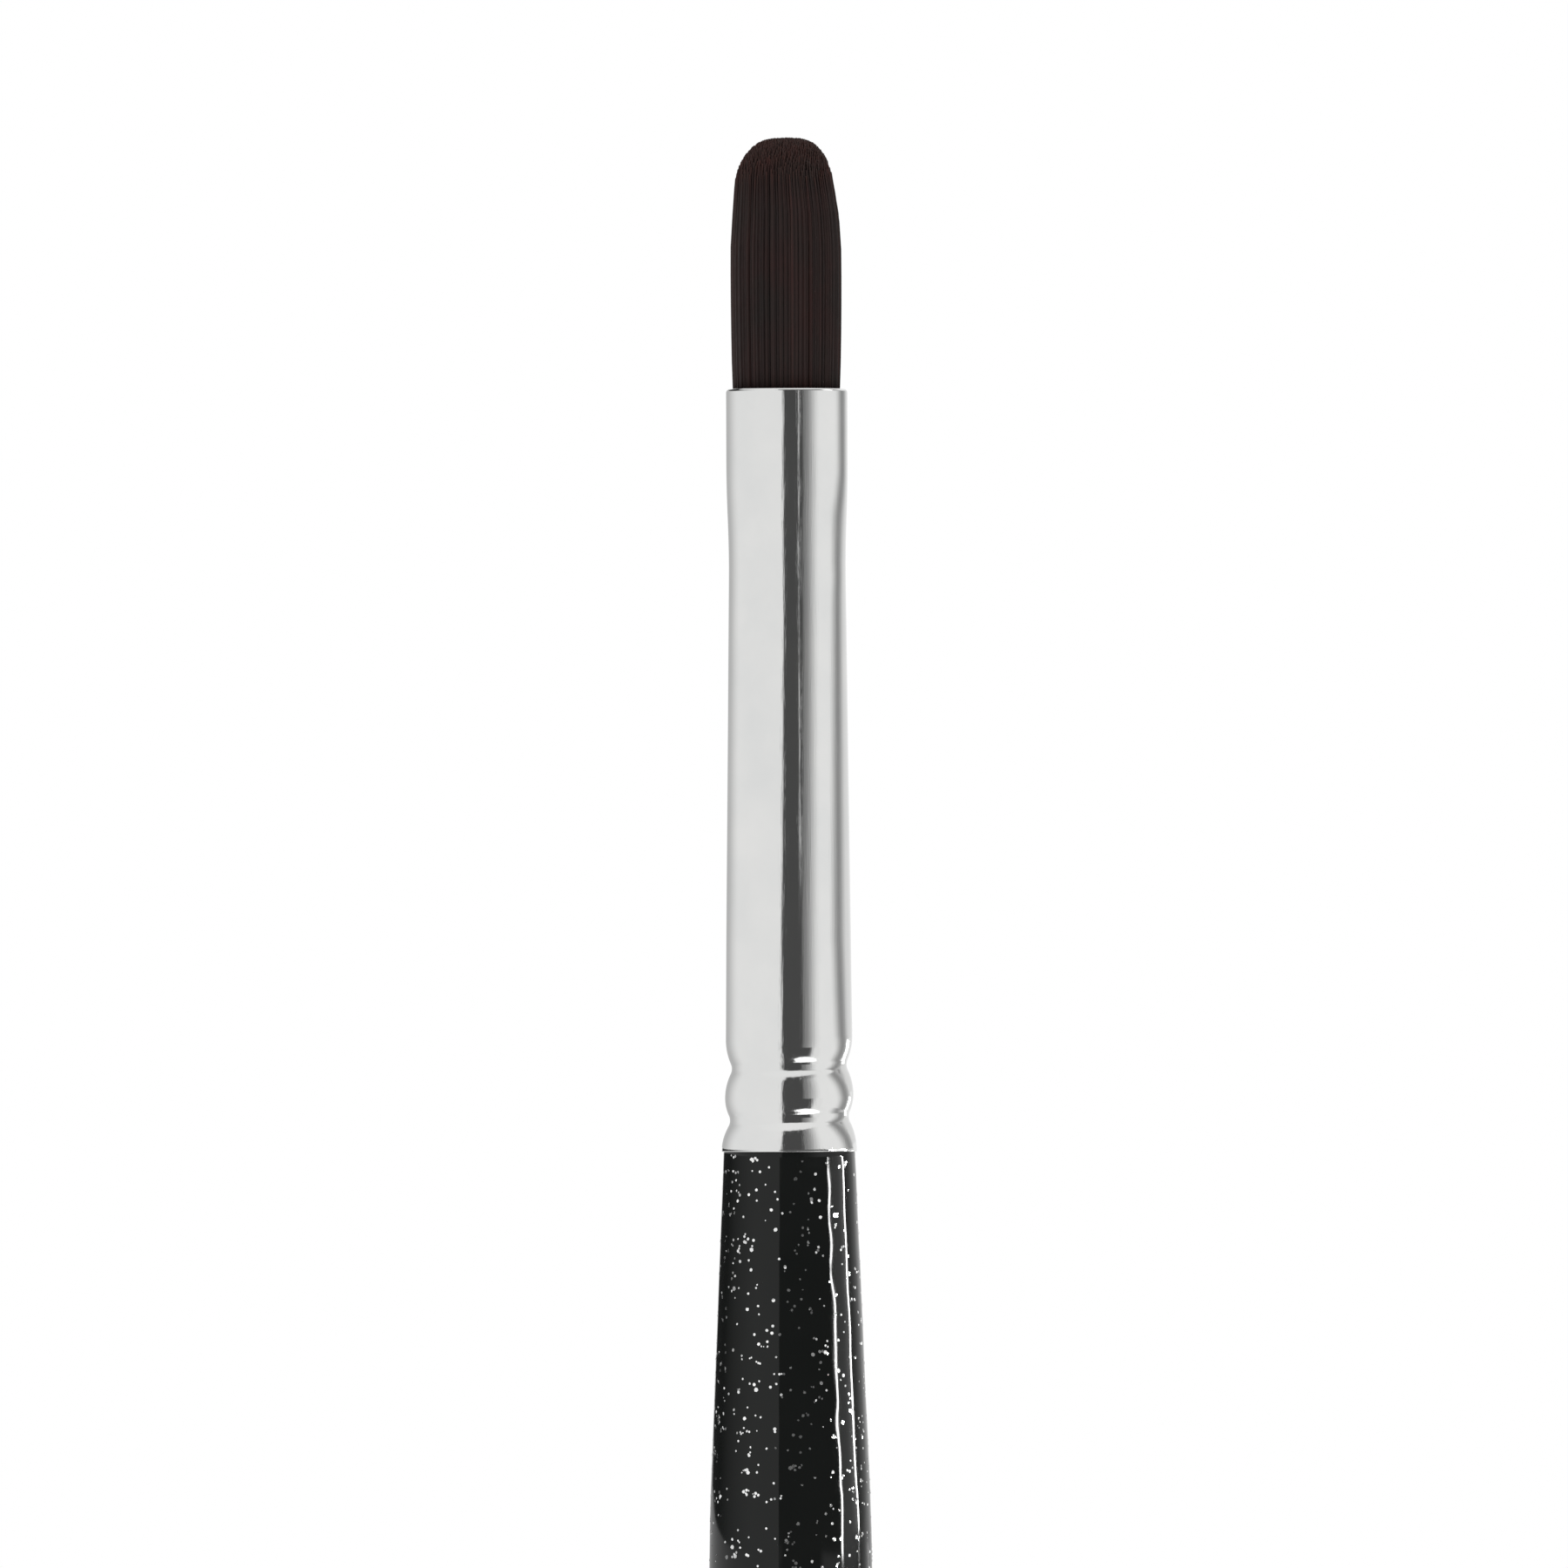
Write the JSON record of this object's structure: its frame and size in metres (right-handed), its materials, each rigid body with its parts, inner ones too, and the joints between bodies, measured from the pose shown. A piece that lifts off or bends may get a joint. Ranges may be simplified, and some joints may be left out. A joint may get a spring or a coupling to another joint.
{
  "type": "round stencil brush",
  "caption": "Slim round stencil brush: a short domed tuft of stiff filaments in a crimped metal ferrule on a tapered glitter-lacquered handle.",
  "frame": {"origin": "lowest point of the handle's rounded butt, on the brush's axis", "axes": "+Z along the brush's axis from the butt to the tip of the filaments; X and Y are across it, and the filaments bend about Y"},
  "size_m": [0.006, 0.006, 0.1752],
  "materials": {
    "turned_wood": "bare, fine sanded",
    "black_lacquer": "dipped, gloss",
    "glitter_lacquer": "clear gloss with fine silver flakes",
    "plated_metal": "bright nickel plate",
    "handle_adhesive": "set wood adhesive",
    "root_epoxy": "cast resin",
    "cotton_thread": "twisted",
    "dark_filament": "fine stiff tapered filaments"
  },
  "bodies": {
    "brush": {"handle_core": "turned_wood", "colour_lacquer": "black_lacquer", "glitter_lacquer": "glitter_lacquer", "ferrule": "plated_metal", "handle_glue": "handle_adhesive", "root_glue": "root_epoxy", "binding_thread": "cotton_thread", "filament_heel": "dark_filament"},
    "tuft": {"filament_head": "dark_filament"}
  },
  "joints": [
    {"name": "tuft_flex", "type": "hinge", "parent": "brush", "child": "tuft", "pos_m": [0, 0, 0.16683], "axis": [0, 1, 0], "range_deg": [-20, 20], "stiffness_Nm_per_rad": 0.006}
  ]
}
